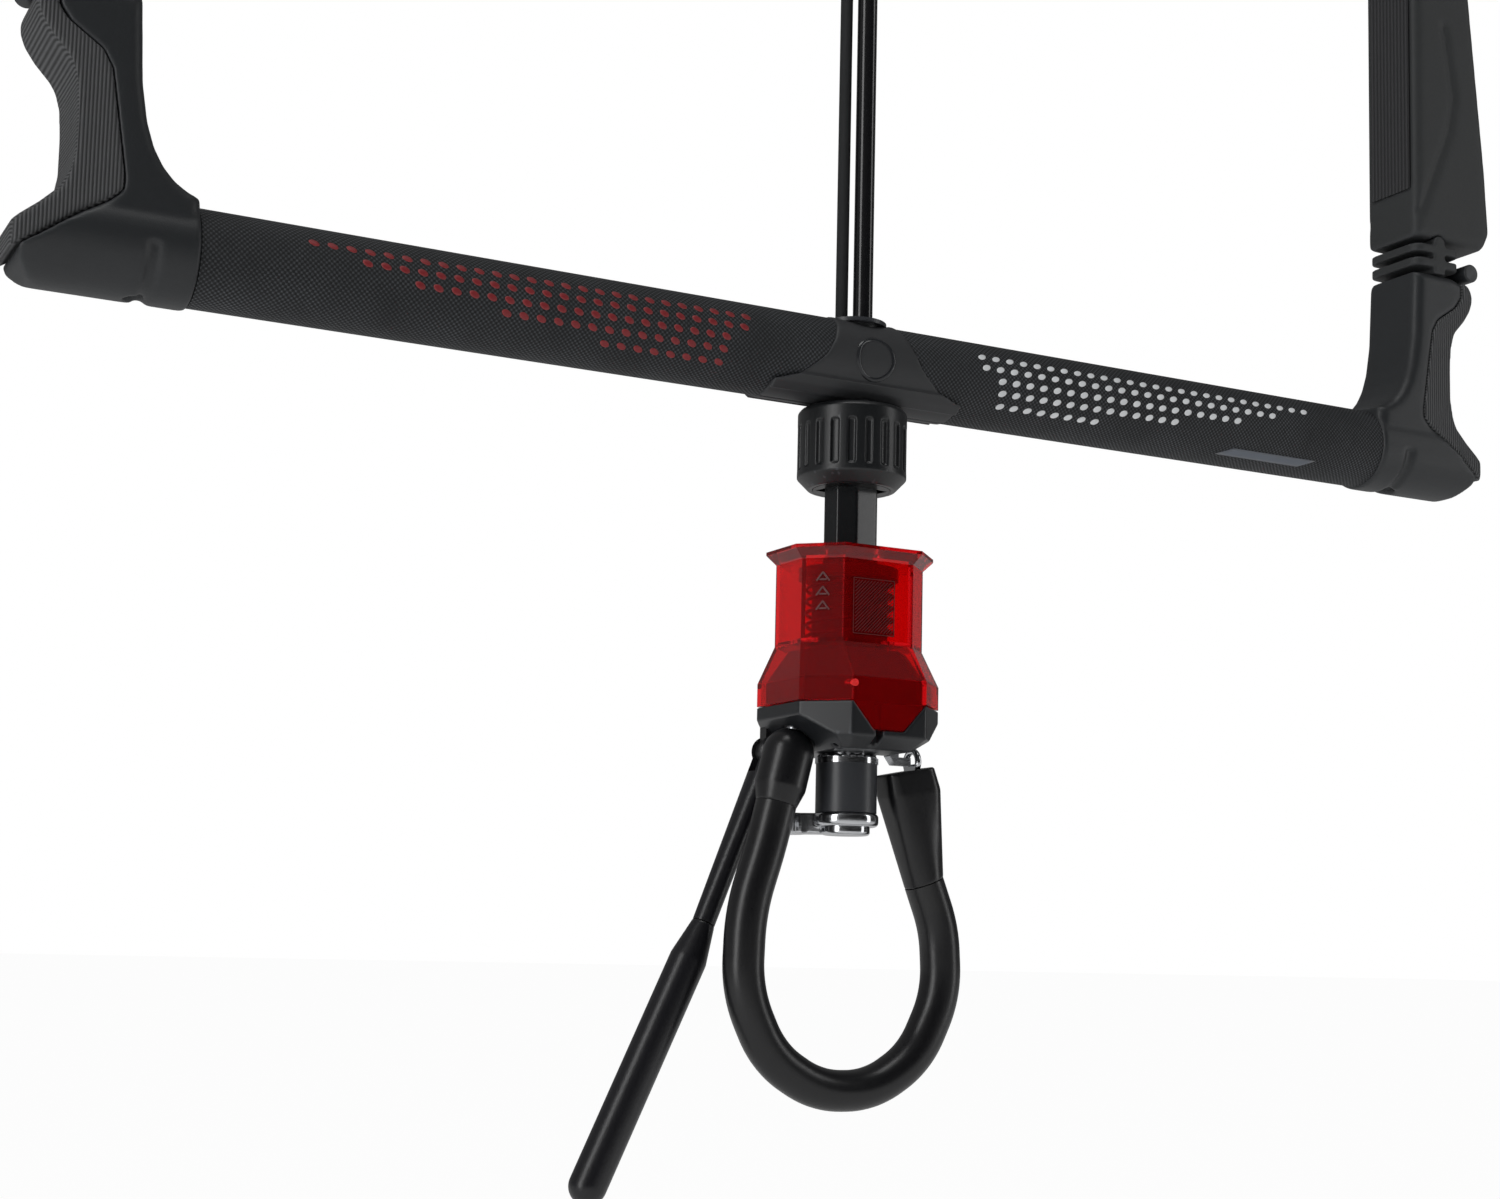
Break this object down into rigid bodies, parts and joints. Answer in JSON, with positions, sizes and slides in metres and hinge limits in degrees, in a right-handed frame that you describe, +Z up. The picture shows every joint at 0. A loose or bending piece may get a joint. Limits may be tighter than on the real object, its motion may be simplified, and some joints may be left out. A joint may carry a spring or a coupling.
{
  "type": "kite control bar",
  "caption": "Straight kite control bar with end floats, two centre lines, below-bar swivel, push-away quick release, leash swivel, chicken loop and locking stick.",
  "frame": {"origin": "centre of the eye in the line head, from which the whole bar hangs", "axes": "+X along the bar to its right end, +Y to the back, +Z up the centre lines"},
  "size_m": [0.524, 0.0504, 0.6285],
  "materials": {
    "black_plastic": "fine satin moulded black",
    "grip_foam": "woven-looking dark foam with small raised dots",
    "insert_plastic": "smooth matt dark grey",
    "pad_rubber": "fine ribs",
    "float_foam": "soft-touch black float skin",
    "panel_rubber": "fine ribs across",
    "aluminium_tube": "drawn tube",
    "steel": "turned stainless steel",
    "chrome": "polished stainless steel",
    "brass": "turned bearing bronze",
    "line_cover": "smooth black line cover",
    "line_braid": "tight braid",
    "white_dot": "white inlay",
    "red_sleeve": "translucent red moulding",
    "red_mark": "red inlay",
    "loop_pu": "smooth black polyurethane tube"
  },
  "bodies": {
    "lines": {"line_head": "black_plastic", "trim_line": "line_cover", "safety_line": "line_braid", "line_anchor": "aluminium_tube", "swivel_knob": "black_plastic", "index_dot": "white_dot", "swivel_post": "black_plastic", "post_nut": "steel"},
    "bar": {"centre_block": "black_plastic", "line_bush": "steel", "front_cover": "insert_plastic", "rear_cover": "insert_plastic", "left_core_tube": "aluminium_tube", "left_grip": "grip_foam", "left_cap": "black_plastic", "left_pad": "pad_rubber", "left_end_plug": "pad_rubber", "left_neck": "black_plastic", "left_peg": "black_plastic", "right_core_tube": "aluminium_tube", "right_grip": "grip_foam", "right_cap": "black_plastic", "right_pad": "pad_rubber", "right_end_plug": "pad_rubber", "right_neck": "black_plastic", "right_peg": "black_plastic"},
    "left_float": {"left_float": "float_foam", "left_panel": "panel_rubber"},
    "right_float": {"right_float": "float_foam", "right_panel": "panel_rubber"},
    "release": {"release_core": "black_plastic", "thrust_washer": "brass", "column_nut": "aluminium_tube", "base_shell": "black_plastic", "base_screws": "steel", "leash_bolt": "steel", "ball_race": "chrome", "bearing_balls": "chrome", "spool_nut": "chrome", "loop_stud": "steel", "stick_lug": "steel", "stick_pin": "steel", "hook_pin": "steel"},
    "sleeve": {"release_sleeve": "red_sleeve", "lock_mark": "red_mark", "return_spring": "steel"},
    "hook": {"release_hook": "steel"},
    "loop": {"loop_cuff": "black_plastic", "loop_tube": "loop_pu", "loop_end": "black_plastic", "link_ring": "chrome"},
    "stick": {"stick_stem": "black_plastic", "stick_grip": "loop_pu"},
    "leash_swivel": {"upper_ring": "chrome", "leash_spool": "black_plastic", "leash_ring": "chrome"}
  },
  "joints": [
    {"name": "sheeting_slide", "type": "slide", "parent": "lines", "child": "bar", "axis": [0, 0, 1], "range_m": [0, 0.3]},
    {"name": "left_float_tilt", "type": "hinge", "parent": "bar", "child": "left_float", "pos_m": [-0.2368, 0, -0.2851], "axis": [0, 1, 0], "range_deg": [-8, 8], "stiffness_Nm_per_rad": 1.5},
    {"name": "right_float_tilt", "type": "hinge", "parent": "bar", "child": "right_float", "pos_m": [0.2368, 0, -0.2851], "axis": [0, 1, 0], "range_deg": [-8, 8], "stiffness_Nm_per_rad": 1.5},
    {"name": "swivel_spin", "type": "hinge", "parent": "lines", "child": "release", "pos_m": [0, 0, -0.462], "axis": [0, 0, 1], "continuous": true},
    {"name": "sleeve_slide", "type": "slide", "parent": "release", "child": "sleeve", "axis": [0, 0, 1], "range_m": [0, 0.012], "stiffness_N_per_m": 800, "springref_m": -0.01, "deforming": ["return_spring"]},
    {"name": "hook_turn", "type": "hinge", "parent": "release", "child": "hook", "pos_m": [0.016, 0, -0.4765], "axis": [0, 1, 0], "range_deg": [0, 50]},
    {"name": "loop_open", "type": "hinge", "parent": "release", "child": "loop", "pos_m": [-0.0205, 0, -0.4845], "axis": [-0.2419, 0, -0.9703], "range_deg": [0, 90]},
    {"name": "stick_swing", "type": "hinge", "parent": "release", "child": "stick", "pos_m": [-0.0196, 0.0143, -0.483], "axis": [0, 1, 0], "range_deg": [0, 50]},
    {"name": "leash_swivel_turn", "type": "hinge", "parent": "release", "child": "leash_swivel", "pos_m": [0, 0, -0.494], "axis": [0, 0, 1], "range_deg": [-80, 0]}
  ],
  "couplings": [
    {"joint": "hook_turn", "follows": "sleeve_slide", "rad_per_m": 72.7}
  ]
}
